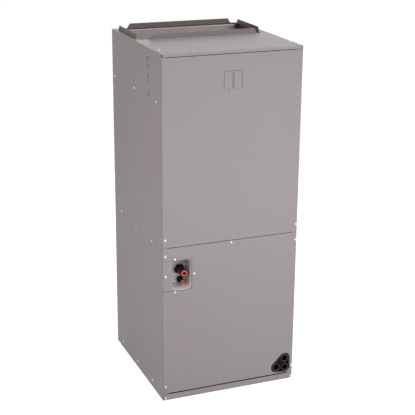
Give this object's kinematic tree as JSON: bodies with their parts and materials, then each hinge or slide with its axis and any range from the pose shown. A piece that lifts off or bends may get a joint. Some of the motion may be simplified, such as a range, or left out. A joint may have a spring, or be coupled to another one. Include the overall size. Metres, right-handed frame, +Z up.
{
  "type": "vertical air handler",
  "caption": "Floor-standing sheet metal air handler with two service doors, filter drawer, A-shaped coil, top-discharge blower, drain ports and line stubs.",
  "frame": {"origin": "middle of the footprint, on the surface it stands on", "axes": "+Z up, the doors face -Y, +X to the right seen from the front"},
  "size_m": [0.542, 0.577, 1.326],
  "materials": {
    "cabinet_paint": "satin baked enamel with a fine orange peel",
    "galvanised": "dull zinc with a faint spangle",
    "insulation": "foil faced blanket",
    "black_plastic": "moulded, matte",
    "black_rubber": "matte with a soft sheen",
    "copper": "drawn tube, slightly tarnished",
    "valve_brass": "machined",
    "coil_fins": "bare fins",
    "motor_black": "black enamel",
    "circuit_green": "solder mask",
    "dark_parts": "moulded, matte",
    "can_metal": "drawn can",
    "zinc_screws": "bright zinc",
    "card_frame": "uncoated board",
    "filter_paper": "pleated media",
    "red_plastic": "soft gloss",
    "shaft_steel": "ground"
  },
  "bodies": {
    "cabinet": {"left_side": "cabinet_paint", "right_side": "cabinet_paint", "rear_panel": "cabinet_paint", "top_panel": "cabinet_paint", "line_plate": "cabinet_paint", "coil_divider": "cabinet_paint", "base_pan": "galvanised", "blower_deck": "galvanised", "filter_rail_left": "galvanised", "filter_rail_right": "galvanised", "coil_tube_sheets": "galvanised", "coil_front_plate": "galvanised", "coil_rear_plate": "galvanised", "coil_top_cap": "galvanised", "blower_housing": "galvanised", "housing_sides": "galvanised", "motor_band": "galvanised", "control_panel": "galvanised", "heater_cover": "galvanised", "capacitor_strap": "galvanised", "left_insulation": "insulation", "right_insulation": "insulation", "rear_insulation": "insulation", "drain_pan": "black_plastic", "suction_grommet": "black_rubber", "liquid_grommet": "black_rubber", "return_bends": "copper", "suction_line": "copper", "liquid_line": "copper", "distributor_tubes": "copper", "expansion_valve": "valve_brass", "coil_slab_left": "coil_fins", "coil_slab_right": "coil_fins", "blower_motor": "motor_black", "control_board": "circuit_green", "transformer": "dark_parts", "terminal_block": "dark_parts", "fan_relay": "dark_parts", "run_capacitor": "can_metal", "case_screws": "zinc_screws", "rear_screws": "zinc_screws", "top_screws": "zinc_screws", "line_plate_screw": "zinc_screws", "control_screws": "zinc_screws"},
    "upper_door": {"upper_door": "cabinet_paint", "upper_door_insulation": "insulation", "upper_door_screws": "zinc_screws"},
    "lower_door": {"lower_door": "cabinet_paint", "lower_door_insulation": "insulation", "lower_door_screws": "zinc_screws"},
    "filter_cover": {"filter_cover": "cabinet_paint", "filter_cover_screw": "zinc_screws"},
    "filter": {"filter_frame": "card_frame", "filter_media": "filter_paper"},
    "blower": {"blower_wheel": "galvanised", "blower_blades": "galvanised", "motor_shaft": "shaft_steel"},
    "suction_plug": {"suction_plug": "red_plastic"},
    "liquid_plug": {"liquid_plug": "red_plastic"}
  },
  "joints": [
    {"name": "upper_door_pull", "type": "slide", "parent": "cabinet", "child": "upper_door", "axis": [0, -1, 0], "range_m": [0, 0.4]},
    {"name": "lower_door_pull", "type": "slide", "parent": "cabinet", "child": "lower_door", "axis": [0, -1, 0], "range_m": [0, 0.4]},
    {"name": "filter_cover_pull", "type": "slide", "parent": "cabinet", "child": "filter_cover", "axis": [0, -1, 0], "range_m": [0, 0.56]},
    {"name": "filter_slide", "type": "slide", "parent": "cabinet", "child": "filter", "axis": [0, -1, 0], "range_m": [0, 0.51]},
    {"name": "blower_spin", "type": "hinge", "parent": "cabinet", "child": "blower", "pos_m": [0, 0.035, 0.888], "axis": [1, 0, 0], "continuous": true},
    {"name": "suction_plug_pull", "type": "slide", "parent": "cabinet", "child": "suction_plug", "axis": [0, -1, 0], "range_m": [0, 0.12]},
    {"name": "liquid_plug_pull", "type": "slide", "parent": "cabinet", "child": "liquid_plug", "axis": [0, -1, 0], "range_m": [0, 0.12]}
  ],
  "couplings": [
    {"joint": "filter_slide", "follows": "filter_cover_pull", "ratio": 0.9}
  ]
}
